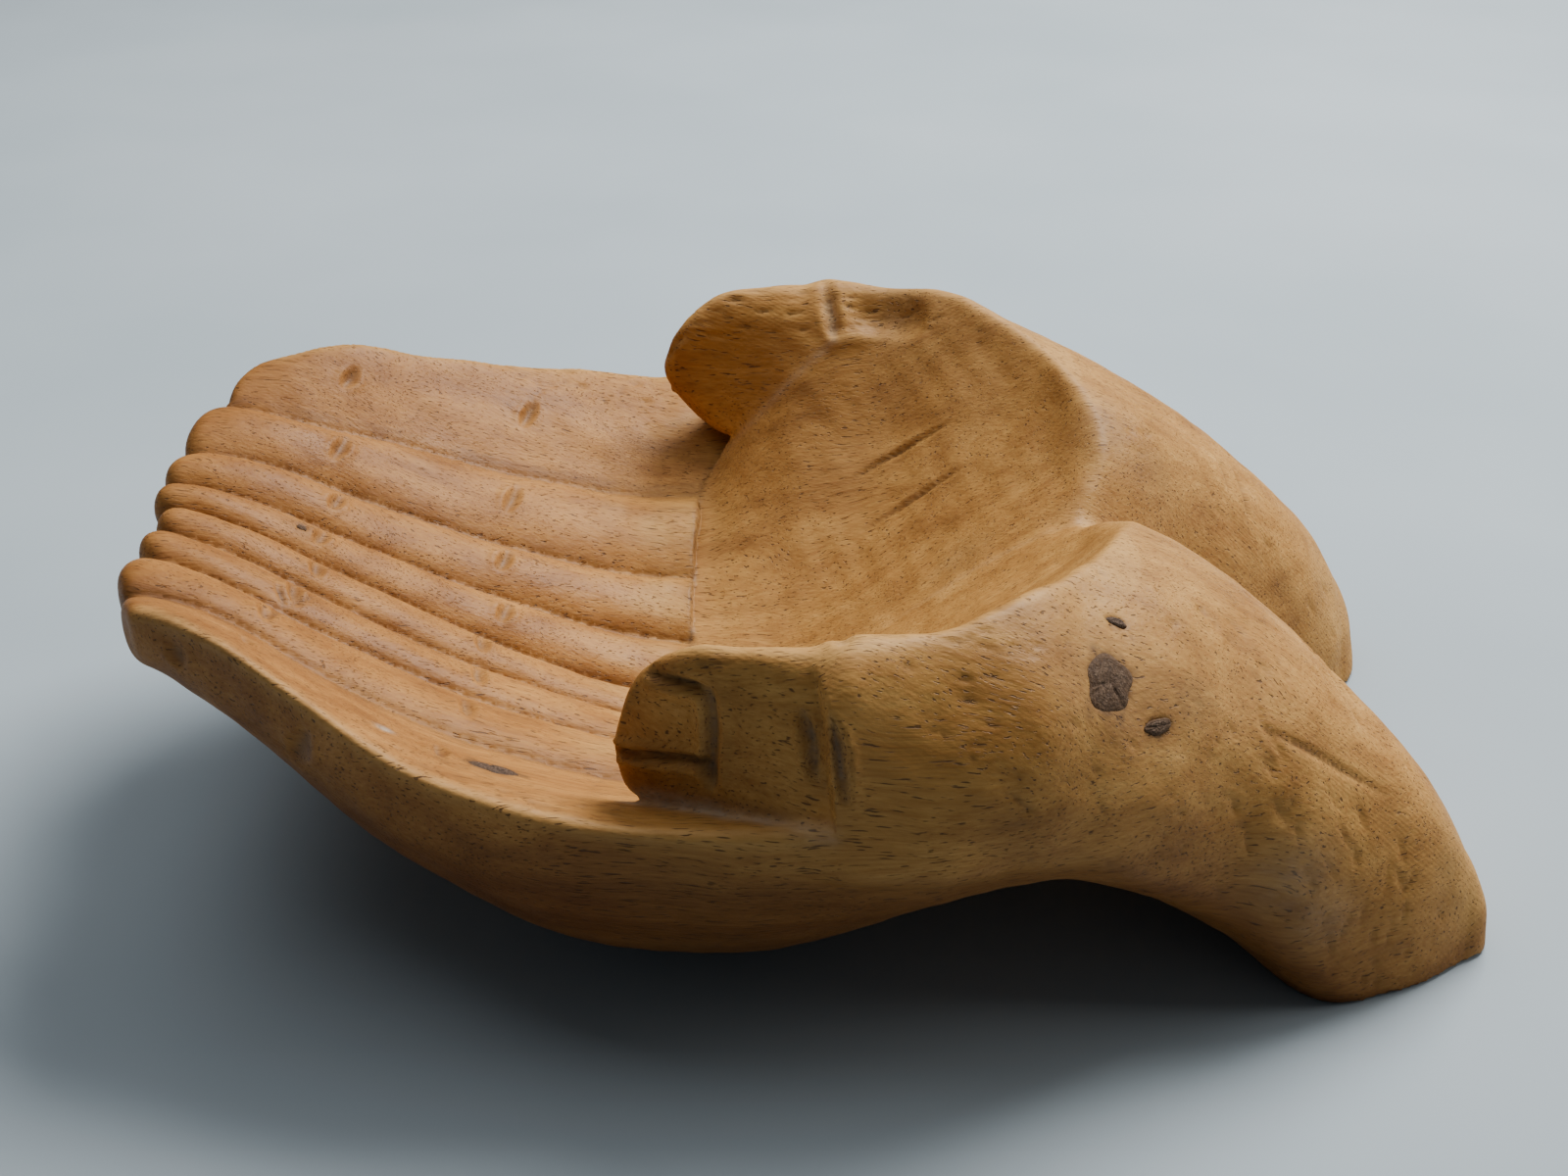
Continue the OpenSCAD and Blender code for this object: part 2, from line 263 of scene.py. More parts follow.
# --- chisel work: each mark is a line on the surface that a shallow cut follows
def seg_dist(P, pts):
    """distance to a line through pts, and how far along it, 0 to 1"""
    pts = np.asarray(pts, float)
    L = np.r_[0, np.cumsum(np.linalg.norm(np.diff(pts, axis=0), axis=1))]
    best = np.full(len(P), 1e9); along = np.zeros(len(P))
    for a, b, l0, l1 in zip(pts[:-1], pts[1:], L[:-1], L[1:]):
        ab = b - a
        t = np.clip(((P - a) @ ab) / (ab @ ab), 0, 1)
        q = np.linalg.norm(P - a - t[:, None] * ab, axis=1)
        m = q < best
        best[m] = q[m]; along[m] = (l0 + (l1 - l0) * t[m]) / L[-1]
    return best, along

rng = np.random.default_rng(7)
ORDER = np.argsort(P[:, 0]); PX = P[ORDER, 0]
disp = np.zeros(len(P))
dust = np.zeros(len(P)); wear_and_highlight = np.zeros(len(P)); dark = np.zeros(len(P)); rasp = np.zeros(len(P))

def onto(pts):
    q = np.asarray(pts, float)
    return settle(q, 6, 3.0)

def trace(L, reach):
    """the points within reach of a line, their distance to it and place along it"""
    L = np.asarray(L, float)
    lo, hi = L.min(0) - reach, L.max(0) + reach
    a, b = np.searchsorted(PX, (lo[0], hi[0]))
    c = ORDER[a:b]
    q = P[c]
    c = c[(q[:, 1] > lo[1]) & (q[:, 1] < hi[1]) & (q[:, 2] > lo[2]) & (q[:, 2] < hi[2])]
    best = np.full(len(c), 1e9); along = np.zeros(len(c))
    ln = np.r_[0, np.cumsum(np.linalg.norm(np.diff(L, axis=0), axis=1))]
    step = max(1, int(len(L) / 8))
    for j in range(0, len(L) - 1, step):
        seg = L[j:j+step+1]
        l2, h2 = seg.min(0) - reach, seg.max(0) + reach
        k = np.where(((P[c] > l2) & (P[c] < h2)).all(1))[0]
        if not len(k):
            continue
        r, t = seg_dist(P[c[k]], seg)
        t = (ln[j] + t * (ln[min(j+step, len(L)-1)] - ln[j])) / ln[-1]
        m = r < best[k]
        best[k[m]] = r[m]; along[k[m]] = t[m]
    k = best < reach
    return c[k], best[k], along[k]

def cut(pts, width, depth, dust_amt=0.0, dark_amt=0.0, taper=0.25, power=2.0, lip=0.0, settled=False):
    m, r, t = trace(onto(pts) if settled is False else pts, 3.2 * width + 1)
    if not len(m):
        return
    end = np.clip(np.minimum(t, 1 - t) / max(taper, 1e-6), 0, 1) ** 0.6
    w = width * (0.45 + 0.55 * end)
    g = np.exp(-(r / w) ** power) * end
    disp[m] -= depth * g
    if lip:
        disp[m] += lip * np.exp(-((r - 1.9 * w) / (0.7 * w)) ** 2) * end
    core = np.exp(-(r / (0.8 * w)) ** 2) * end
    dust[m] = np.maximum(dust[m], dust_amt * core)
    dark[m] = np.maximum(dark[m], dark_amt * core)

def both(pts, *a, shift=0.0, **k):
    """the same mark on each hand; shift moves the near hand's along X"""
    far = [(x, abs(y), z) for x, y, z in pts]
    near = [(x + shift, -abs(y), z) for x, y, z in pts]
    cut(far, *a, **k)
    cut(near, *a, **k)

def smudge(c, r, to, amt, squash=(1, 1, 1)):
    q = np.linalg.norm((P - np.asarray(c, float)) * squash, axis=1) / r
    np.maximum(to, amt * np.exp(-q ** 2.5), out=to)

def waves(P, size, n, seed):
    """smooth hand-work unevenness, about -1 to 1"""
    r = np.random.default_rng(seed)
    v = np.zeros(len(P))
    for _ in range(n):
        k = r.normal(size=3); k *= (2 * math.pi / size) * r.uniform(0.6, 1.4) / np.linalg.norm(k)
        v += np.sin(P @ k + r.uniform(0, 6.28))
    return v / math.sqrt(n)

disp += 0.22 * waves(P, 26, 7, 1) + 0.09 * waves(P, 9, 9, 2)

# palm lines
both([(16, 53.5, 55), (25, 55, 61), (35, 55, 67), (44.5, 54, 73)], 0.85, 1.1, 0.0, 0.55, taper=0.45, lip=0.2, shift=2)
both([(19, 38, 48.5), (29, 38.5, 54.5), (37, 39, 61), (47, 39.5, 67.5)], 0.8, 0.9, 0.0, 0.45, taper=0.45, lip=0.25, shift=-2)
# middle line of the palms
m = np.abs(P[:, 1]) < 3
mid = np.exp(-(P[:, 1] / 0.6) ** 2) * sstep(16, 40, P[:, 0]) * (P[:, 0] < 76) * (np.abs(P[:, 2] - sm(PALM_Z, P[:, 0])) < 4)
# a thin pale line along the middle crease of the palms
dust = np.maximum(dust, 0.14 * mid)

# thumbnails, knuckles, the ledge under each thumb
both([(-28, 96, 86.2), (-21, 100, 85.4), (-15, 102, 84.6)], 1.3, 2.3, 0.0, 1.0, taper=0.12, power=3.0)
both([(-14.6, 102, 86), (-14, 102.5, 77), (-14.6, 102.6, 67), (-13.6, 103, 62.5)], 1.4, 2.3, 0.2, 0.75, taper=0.15, power=3.0, lip=0.45)
both([(-36, 93, 65.4), (-31, 95, 65.9), (-23, 99, 67.2), (-15, 102.6, 68.2)], 1.1, 2.2, 0.0, 0.95, taper=0.05, power=3.0, lip=0.7)
both([(3.3, 108, 84), (5.2, 109.8, 77.3), (5.6, 111.2, 69)], 1.15, 2.2, 0.3, 0.6, taper=0.3, power=2.5, lip=0.7)
both([(8.4, 111.8, 85), (10.3, 115.5, 78.7), (11.4, 117.8, 68)], 1.15, 2.2, 0.3, 0.6, taper=0.3, power=2.5, lip=0.7)
plate = sstep(-38, -35, P[:, 0]) * (1 - sstep(-17.5, -15.5, P[:, 0])) * sstep(68, 69.4, P[:, 2]) * (1 - sstep(80.5, 83.5, P[:, 2]))
plate *= (np.abs(P[:, 1]) > 91) * (np.abs(N[:, 1]) > 0.5)
disp -= 0.9 * plate
for s in (1, -1):
    L = onto([(-34, s*93, 55), (-27, s*97, 57), (-19, s*101, 58), (-6, s*108.5, 59), (9, s*115.5, 60.6)])
    m, r, t = trace(L, 5)
    dust[m] = np.maximum(dust[m], (0.15 if s > 0 else 1.0) * np.exp(-(r / 2.0) ** 2) * sstep(0, 0.06, t) * (1 - 0.7 * t))
    rasp = np.maximum(rasp, np.exp(-(np.linalg.norm((P - np.array([-8, s*104, 80])) * [0.6, 1, 1], axis=1) / 17) ** 4))

# joint crease and the hollow behind it, inside each thumb
both([(11, 101.8, 93.5), (12.7, 91.7, 87.9), (13.8, 86.7, 81.9)], 1.6, 1.5, 0.55, 0.0, taper=0.15, lip=0.2)
both([(17, 91, 88), (27, 89, 88), (38, 82, 88.5)], 6.5, 2.8, 0.0, 0.4, taper=0.4)
for s in (1, -1):
    L = onto([(-17.5, s*81, 50.6), (-8, s*81, 61), (2.6, s*82.6, 73), (13.7, s*86.3, 81.5)])
    m, r, t = trace(L, 5)
    dust[m] = np.maximum(dust[m], 0.4 * np.exp(-(r / 1.1) ** 2) * (0.1 + 0.9 * t))
    L = onto([(13.7, s*86, 81.5), (20, s*85.5, 83), (27, s*84.5, 83.4), (39, s*77, 83.9)])
    m, r, t = trace(L, 6)
    e = np.exp(-(r / 2.2) ** 2) * (1 - t)
    disp[m] += 0.8 * e
    wear_and_highlight[m] = np.maximum(wear_and_highlight[m], 0.35 * e)

# step at the finger roots: painted shade darkens the corner at the foot of the step, with some packed dust in it
st = np.abs(P[:, 0] - sm(STEP_X, np.abs(P[:, 1])))
zc = np.abs(P[:, 2] - z_dish(P[:, 0], np.abs(P[:, 1])))
foot = np.exp(-(st / 0.9) ** 2) * np.exp(-(zc / 4) ** 2) * (np.abs(P[:, 1]) < 84) * (P[:, 2] > 15)
# painted shade in the corner at the foot of the step
dark = np.maximum(dark, 0.75 * foot * (0.75 + 0.25 * waves(P, 9, 6, 31)).clip(0, 1))
dust = np.maximum(dust, 0.25 * foot * (0.5 * waves(P, 12, 6, 32)).clip(0, 1))

# finger joints: an oval notch across each finger, and chisel ends between them
for s in (1, -1):
    for X0, half in ((-112, 0.17), (-70, 0.16)):
        g = [0.0, float(sm(G1, X0)), float(sm(G2, X0)), float(sm(G3, X0)), float(sm(HALF_W, X0)) - 3]
        for k in range(4):
            c, w = (g[k] + g[k+1]) / 2, g[k+1] - g[k]
            if k == 3:
                c += 1.5
            x0 = X0 + rng.uniform(-2.2, 2.2)
            h = w * (half if k == 3 else 0.24) * rng.uniform(0.8, 1.1)
            z = float(z_dish(np.array(x0), np.array(c)))
            cut([(x0 - 0.9, s*(c - h), z), (x0, s*c, z), (x0 + 0.7, s*(c + h), z)], 1.45, 1.5,
                0.12, 0.55, taper=0.4, power=3.0, lip=0.5)
    # outer side of the index finger
    cut([(-99.2, s*88.1, 60.1), (-96.4, s*91.1, 65.5), (-94.6, s*92.3, 69.7)], 2.0, 1.3, 0.15, 0.45, taper=0.4, lip=0.35)
    cut([(-124.4, s*75.1, 80.1), (-123, s*76, 74)], 1.8, 1.1, 0.15, 0.4, taper=0.4, lip=0.3)

# finger division lines, a fine chisel line in each valley
for s in (1, -1):
    for T in (G1, G2, G3):
        xs = np.linspace(-140, -26, 26)
        L = np.stack([xs, s * sm(T, xs), z_dish(xs, sm(T, xs))], 1)
        L = onto(L)
        m, r, t = trace(L, 4)
        e = np.exp(-(r / 0.9) ** 2)
        disp[m] -= 0.4 * e
        dark[m] = np.maximum(dark[m], 0.35 * e * (0.5 + 0.5 * np.sin(t * 40 + s)))
L = onto([(x, 0, float(sm(DISH_Z, x)) - 2) for x in np.linspace(-138, -26, 20)])
m, r, t = trace(L, 4)
disp[m] -= 0.4 * np.exp(-(r / 0.9) ** 2)

# checks, splits and tool slips
cut([(-111.8, -47, 70), (-112.3, -38, 67), (-112.6, -31, 64.3)], 0.9, 1.3, 0.0, 1.0, taper=0.3)
cut([(-112.6, -31, 64.3), (-113.5, -27.5, 66), (-115.3, -25, 66.8)], 0.8, 1.0, 0.0, 0.9, taper=0.3)
cut([(-112.6, -31, 64.3), (-109.5, -27.5, 64), (-107.5, -22, 62.5)], 0.8, 0.9, 0.0, 0.8, taper=0.3)
cut([(97, -82.2, 64.6), (109, -80.8, 57.1), (118.4, -79, 50.6), (128, -76.9, 43.9)], 0.9, 0.7, 0.0, 0.65, taper=0.3)
TOPS = []
for s in (1, -1):
    n = 46
    x = rng.uniform(-24, 46, n); d = rng.uniform(84, 103, n)
    o = np.stack([x, s * d, rng.uniform(84, 93, n)], 1)
    L = rng.uniform(1.2, 4.2, n)
    seeds_top = (o, np.stack([L, s * 0.12 * L, 0 * L], 1), rng.uniform(0.4, 0.65, n), rng.uniform(0.25, 0.6, n), rng.uniform(0.3, 0.85, n))
    TOPS.append(seeds_top)
cut([(112, -43, 64), (118, -51, 60), (122, -58, 57)], 0.9, 0.8, 0.0, 0.7, taper=0.3)
cut([(116, -43, 61), (121.5, -51, 57.5), (125, -58, 54)], 0.8, 0.8, 0.0, 0.6, taper=0.3, lip=0.2)
cut([(111.9, 44.5, 65.3), (113.2, 35.5, 61.2)], 0.9, 0.7, 0.0, 0.6, taper=0.3)
cut([(116.4, 47.7, 61.6), (118, 41, 58), (118.7, 34.6, 53.7)], 1.0, 0.8, 0.0, 0.6, taper=0.3, lip=0.2)
def strokes(seeds, dirs, widths, depths, darks):
    q = onto(seeds)
    ends = onto(np.concatenate([q - dirs, q + dirs]))
    for i in range(len(q)):
        if q[i, 2] > 4:
            cut([ends[i], q[i], ends[len(q) + i]], widths[i], depths[i], 0.0, darks[i], taper=0.5, settled=True)

for s in (1, -1):
    n = 110
    x = rng.uniform(84, 150, n); ang = rng.uniform(-0.3, 2.2, n)
    o = np.stack([x, s * (sm(A_C, x) + 40 * np.cos(ang)), sm(A_E, x) + 45 * np.sin(ang)], 1)
    a = rng.normal(1.3, 0.5, n); L = rng.uniform(1.5, 4.5, n)
    strokes(o, np.stack([np.cos(a), np.full(n, s * 0.4), -np.sin(a)], 1) * L[:, None],
            rng.uniform(0.6, 1.0, n), rng.uniform(0.25, 0.6, n), rng.uniform(0.0, 0.4, n))
    n = 26
    x = rng.uniform(-78, -28, n); d = sm(HALF_W, x) - rng.uniform(2, 17, n)
    o = np.stack([x, s * d, z_dish(x, d)], 1)
    a = rng.normal(0.5, 0.35, n); L = rng.uniform(1.5, 4.0, n)
    strokes(o, np.stack([np.cos(a), s * np.sin(a), np.full(n, -0.1)], 1) * L[:, None],
            np.full(n, 0.7), rng.uniform(0.2, 0.5, n), rng.uniform(0.1, 0.5, n))
for part in TOPS:
    strokes(*part)
for s in (1, -1):
    n = 90
    x = rng.uniform(12, 92, n); ang = rng.uniform(-0.5, 1.5, n)
    o = np.stack([x, s * (sm(A_C, x) + 48 * np.cos(ang)), sm(A_E, x) + 38 * np.sin(ang)], 1)
    L = rng.uniform(0.6, 2.4, n); a = rng.normal(0.25, 0.5, n)
    strokes(o, np.stack([np.cos(a), np.full(n, s * -0.2), -np.sin(a)], 1) * L[:, None],
            rng.uniform(0.45, 0.75, n), rng.uniform(0.2, 0.5, n), rng.uniform(0.2, 0.75, n))
rasp = np.maximum(rasp, 0.8 * sstep(92, 118, P[:, 0]))
# painted shade: darker colour on faces that turn down and outward, low on the sides, and more faintly on the outer
# faces of thumbs and heels below their tops
side = sstep(0.45, -0.25, N[:, 2]) * sstep(0.0, 0.4, N[:, 1] * np.sign(P[:, 1]) - np.minimum(N[:, 2], 0))
side = np.maximum(side * sstep(70, 40, P[:, 2]), 0.55 * side * sstep(96, 70, P[:, 2]) * sstep(-30, 20, P[:, 0]))

# lighter edges: painted highlight on the palm crest, the finger rims and the thumb tops, and lighter wrist ends
CREST = [(24, 101, 93), (31, 96, 93.5), (37.5, 92, 94.4), (48.5, 84, 96), (56, 76, 95), (63, 63, 92), (68.5, 48, 89), (73, 35, 86), (74.3, 20, 80), (73, 9, 75), (72.5, 0, 73)]
for s in (1, -1):
    L = onto([(x, s*y, z) for x, y, z in CREST])
    m, r, t = trace(L, 10)
    # painted highlight: the crest is lighter where it turns towards +X, the side of the window lamp
    out = np.clip(N[m, 0] * 1.2 + 0.5, 0, 1)
    wear_and_highlight[m] = np.maximum(wear_and_highlight[m], 0.50 * np.exp(-(r / 2.6) ** 2) * out * sstep(0, 0.25, t))
    # painted highlight along the finger rims
    xs = np.linspace(-132, 4, 40)
    L = onto(np.stack([xs, s * (sm(HALF_W, xs) - 1.0), z_dish(xs, sm(HALF_W, xs))], 1))
    m, r, t = trace(L, 6)
    wear_and_highlight[m] = np.maximum(wear_and_highlight[m], 0.55 * np.exp(-(r / 2.2) ** 2))
wear_and_highlight = np.maximum(wear_and_highlight, 0.55 * sstep(134, 150, P[:, 0]) * sstep(2, 16, P[:, 2]) * np.clip(0.8 + 0.2 * waves(P, 14, 6, 41), 0, 1))
# painted highlight on the upward faces of the thumb tops
top = sstep(0.75, 0.97, N[:, 2]) * (P[:, 2] > 88)
wear_and_highlight = np.maximum(wear_and_highlight, 0.35 * top)

# painted shade in the valleys between the fingers, and painted highlight on the finger ridges near the step
val = np.abs(2 * strip(P[:, 0], np.abs(P[:, 1])) - 1)
on = (P[:, 0] < -24) * (N[:, 2] > 0.2) * (np.abs(P[:, 1]) < sm(G3, P[:, 0]) + 4)
dark = np.maximum(dark, 0.42 * sstep(0.62, 1.0, val) * on * np.clip(0.8 + 0.25 * waves(P, 16, 6, 51), 0, 1))
# painted highlight on the finger ridges near the step
wear_and_highlight = np.maximum(wear_and_highlight, 0.5 * sstep(-60, -30, P[:, 0]) * (1 - sstep(0.3, 0.8, val)) * on * np.clip(0.5 + 0.5 * waves(P, 14, 6, 52), 0, 1))

# stains
smudge((65, -95, 81), 14, dark, 0.46)
smudge((74, -92, 77), 12, dark, 0.34)
smudge((81, -87.5, 73.6), 5.5, dark, 0.55, (0.6, 1, 1))
smudge((79, 25.5, 82), 9, dark, 0.38)
smudge((90, 22, 75), 9, dark, 0.34)
smudge((129, 32, 36), 6, dark, 0.3)
smudge((44, 8, 56), 7, dark, 0.35, (0.7, 1, 1))
smudge((30, 92, 90), 11, dark, 0.3)
smudge((-116, 7.2, 65), 3.2, dark, 0.45)
smudge((106, -95, 36), 9, dust, 0.20)
smudge((112, -93, 26), 8, dust, 0.18)
smudge((-81, -85.3, 65.6), 2.0, dust, 0.8)
cut([(-82.5, -85.3, 66), (-80, -85.2, 65.2)], 0.8, 0.6, 0.2, 0.6, taper=0.4)

# --- knots: each is its own piece set in a shallow seat
KNOTS = {
    "knot_heel": dict(c=(64.0, -94.6, 82.3), u=(0.45, 0.85, 0.35), a=7.4, b=6.1, lobes=2, slot="dark_knot"),
    "knot_index_finger": dict(c=(-58.9, -87.6, 57.7), u=(1, 0.1, -0.1), a=5.8, b=3.8, lobes=1, slot="grey_knot"),
    "knot_eye_upper": dict(c=(66.6, -79.8, 87.7), u=(0.9, 0.2, -0.5), a=2.8, b=1.25, lobes=1, slot="grey_knot"),
    "knot_eye_lower": dict(c=(74.0, -95.3, 72.5), u=(0.85, 0.1, 0.2), a=4.0, b=1.7, lobes=1, slot="dark_knot"),
    "pin_knot_finger": dict(c=(-116.0, 7.2, 65.3), u=(1, 0, 0), a=1.5, b=1.1, lobes=1, slot="dark_knot"),
}

def outline(th, lobes, seed):
    r = np.random.default_rng(seed)
    o = 1 + 0.05 * np.sin(3 * th + r.uniform(0, 6)) + 0.035 * np.sin(5 * th + r.uniform(0, 6))
    if lobes == 2:
        o = o * (1 - 0.17 * np.exp(-(((th - 1.9) % (2*math.pi) - math.pi) / 0.33) ** 2)
                   - 0.13 * np.exp(-(((th + 1.0) % (2*math.pi) - math.pi) / 0.4) ** 2))
    return o

def knot_frame(k):
    C = onto([k["c"]])[0]
    n = grad(C[None])[0]; n /= np.linalg.norm(n)
    u = np.array(k["u"], float); u -= n * (u @ n); u /= np.linalg.norm(u)
    return C, n, u, np.cross(n, u)

for i, (name, k) in enumerate(KNOTS.items()):
    C, n, u, v = knot_frame(k)
    q = P - C
    a, b = (q @ u) / k["a"], (q @ v) / k["b"]
    rr = np.hypot(a, b) / outline(np.arctan2(b, a), k["lobes"], 50 + i)
    m = np.abs(q @ n) < 4
    soft = rr + 0.16 * waves(P, 5.0, 8, 60 + i)
    disp -= m * 0.9 * (1 - sstep(0.55, 0.95, rr))
    dark = np.maximum(dark, m * 0.82 * np.exp(-(np.maximum(soft - 0.95, 0) / (0.30 if k["lobes"] == 2 else 0.2)) ** 2) * (k["a"] > 2))

P2 = P + N * disp[:, None]
P2[:, 2] = np.maximum(P2[:, 2], 0.0)

def to_m(P):
    return (P - np.array([SHIFT, 0, 0])) * 0.001

def mesh_object(name, V, faces, attrs):
    me = bpy.data.meshes.new(name)
    me.from_pydata([tuple(p) for p in V.tolist()], [], [tuple(f) for f in faces])
    me.validate()
    me.update()
    me.polygons.foreach_set("use_smooth", [True] * len(me.polygons))
    for key, val in attrs.items():
        at = me.attributes.new(key, "FLOAT", "POINT")
        at.data.foreach_set("value", np.ascontiguousarray(val, dtype=np.float32))
    ob = bpy.data.objects.new(name, me)
    bpy.context.scene.collection.objects.link(ob)
    return ob

tri_n = np.cross(P2[quads[:, 1]] - P2[quads[:, 0]], P2[quads[:, 2]] - P2[quads[:, 0]])
if (np.einsum('ij,ij->i', tri_n, N[quads[:, 0]]) > 0).mean() < 0.5:
    quads = quads[:, ::-1]
hands = mesh_object("hands_bowl", to_m(P2), quads.tolist(),
                    {"dust": dust, "wear_and_highlight": wear_and_highlight, "dark": dark, "rasp": rasp, "side": side})
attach(hands, "root")
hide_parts("carved_hands")

knot_objs = []
for i, (name, k) in enumerate(KNOTS.items()):
    C, n, u, v = knot_frame(k)
    R, A = (22, 72) if k["a"] > 3.5 else (10, 36)
    th = np.linspace(0, 2 * math.pi, A, endpoint=False)
    o = outline(th, k["lobes"], 50 + i)
    r2 = np.random.default_rng(90 + i)
    crack_th = r2.uniform(0, 6.28, 5)
    V, rad = [C[None]], [np.zeros(1)]
    for j in range(1, R + 1):
        r = j / R
        ring = C + np.outer(np.cos(th) * o * r * k["a"], u) + np.outer(np.sin(th) * o * r * k["b"], v)
        V.append(ring); rad.append(np.full(A, r))
    V = np.concatenate(V); rad = np.concatenate(rad)
    ang = np.concatenate([[0.0]] + [th] * R)
    V = settle(V, 6, 1.0)
    nn = grad(V); nn /= np.linalg.norm(nn, axis=1, keepdims=True)
    h = 0.22 * (1 - rad ** 4) - 0.75 * rad ** 10
    h += 0.02 * np.sin(rad * 18 + 2.5 * np.sin(ang * 2)) * (rad > 0.12) * min(1, k["a"] / 6)
    for ct in crack_th:
        w = np.exp(-(((ang - ct + math.pi) % (2*math.pi) - math.pi) * rad * k["a"] / 0.35) ** 2)
        h -= 0.22 * w * sstep(0.1, 0.3, rad) * (1 - sstep(0.8, 0.95, rad)) * min(1, k["a"] / 6)
    h -= 0.3 * np.exp(-(rad / 0.12) ** 2) * min(1, k["a"] / 6)
    V = V + nn * h[:, None]
    base = V[-A:] - n * min(3.0, k["a"] * 0.6)
    V = np.concatenate([V, base, (C - n * min(3.0, k["a"] * 0.6))[None]])
    rad = np.concatenate([rad, np.ones(A), [0]])
    faces = []
    for a_ in range(A):
        b_ = (a_ + 1) % A
        faces.append((0, 1 + a_, 1 + b_))
        for j in range(R - 1):
            p0 = 1 + j * A
            faces.append((p0 + a_, p0 + A + a_, p0 + A + b_, p0 + b_))
        p0 = 1 + (R - 1) * A
        faces.append((p0 + a_, p0 + A + a_, p0 + A + b_, p0 + b_))
        faces.append((p0 + A + a_, 1 + (R + 1) * A, p0 + A + b_))
    ob = mesh_object(name + "_detail", to_m(V), faces, {"rad": rad, "ang": np.concatenate([ang, th, [0]])})
    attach(ob, "root")
    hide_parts(name)
    knot_objs.append((ob, k))

# --- materials
def node(t, kind, ins=None, **props):
    n = t.nodes.new(kind)
    for k, v in props.items():
        setattr(n, k, v)
    for k, v in (ins or {}).items():
        s = n.inputs[k]
        if isinstance(v, bpy.types.NodeSocket):
            t.links.new(v, s)
        else:
            s.default_value = v
    return n

def math_(t, op, a, b=0.0, clamp=False):
    return node(t, "ShaderNodeMath", {0: a, 1: b}, operation=op, use_clamp=clamp).outputs[0]

def vmul(t, v, xyz):
    return node(t, "ShaderNodeVectorMath", {0: v, 1: xyz}, operation="MULTIPLY").outputs[0]

def noise(t, v, detail=2.0, rough=0.5, scale=1.0, dist=0.0):
    return node(t, "ShaderNodeTexNoise", {"Vector": v, "Scale": scale, "Detail": detail, "Roughness": rough, "Distortion": dist}).outputs[0]

def remap(t, v, a, b, c=0.0, d=1.0):
    return node(t, "ShaderNodeMapRange", {"Value": v, "From Min": a, "From Max": b, "To Min": c, "To Max": d}, clamp=True).outputs[0]

def mix(t, f, a, b, blend="MIX"):
    n = node(t, "ShaderNodeMix", data_type="RGBA", blend_type=blend, clamp_factor=True)
    for s, v in ((n.inputs[0], f), (n.inputs[6], a), (n.inputs[7], b)):
        if isinstance(v, bpy.types.NodeSocket):
            t.links.new(v, s)
        else:
            s.default_value = v if not isinstance(v, tuple) else (*v, 1.0)
    return n.outputs[2]

def ramp(t, f, stops):
    n = node(t, "ShaderNodeValToRGB", {0: f})
    cr = n.color_ramp
    while len(cr.elements) < len(stops):
        cr.elements.new(0.5)
    for e, (p, c) in zip(cr.elements, stops):
        e.position = p; e.color = (*c, 1.0)
    return n.outputs[0]

def attr(t, name):
    return node(t, "ShaderNodeAttribute", attribute_name=name, attribute_type="GEOMETRY").outputs["Fac"]

def wood_nodes(t):
    """grain of a block whose fibres run along X; all sizes in millimetres"""
    obj = node(t, "ShaderNodeTexCoord").outputs["Object"]
    mm = vmul(t, obj, (1000, 1000, 1000))
    wob = node(t, "ShaderNodeTexNoise", {"Vector": vmul(t, mm, (0.012, 0.022, 0.022)), "Scale": 1.0, "Detail": 2.0}).outputs[1]
    wob = node(t, "ShaderNodeVectorMath", {0: wob, 1: (0.5, 0.5, 0.5)}, operation="SUBTRACT").outputs[0]
    wob = vmul(t, wob, (10, 26, 26))
    p = node(t, "ShaderNodeVectorMath", {0: mm, 1: wob}, operation="ADD").outputs[0]
    streak = noise(t, vmul(t, p, (0.009, 0.16, 0.16)), 4.0, 0.55)
    fibre = noise(t, vmul(t, p, (0.045, 1.25, 1.25)), 3.0, 0.6)
    pore = remap(t, noise(t, vmul(t, p, (0.20, 2.1, 2.1)), 1.0, 0.5), 0.63, 0.72)
    mott = noise(t, vmul(t, mm, (0.030, 0.05, 0.05)), 4.0, 0.62)
    rings = node(t, "ShaderNodeTexWave", {"Vector": node(t, "ShaderNodeVectorMath", {0: vmul(t, p, (0.0004, 0.01, 0.01)), 1: (0.0, 0.25, 1.3)}, operation="ADD").outputs[0],
                 "Scale": 2.6, "Distortion": 2.5, "Detail": 2.0, "Detail Scale": 1.2}, wave_type="RINGS", rings_direction="X").outputs[1]
    return mm, p, streak, fibre, pore, mott, rings

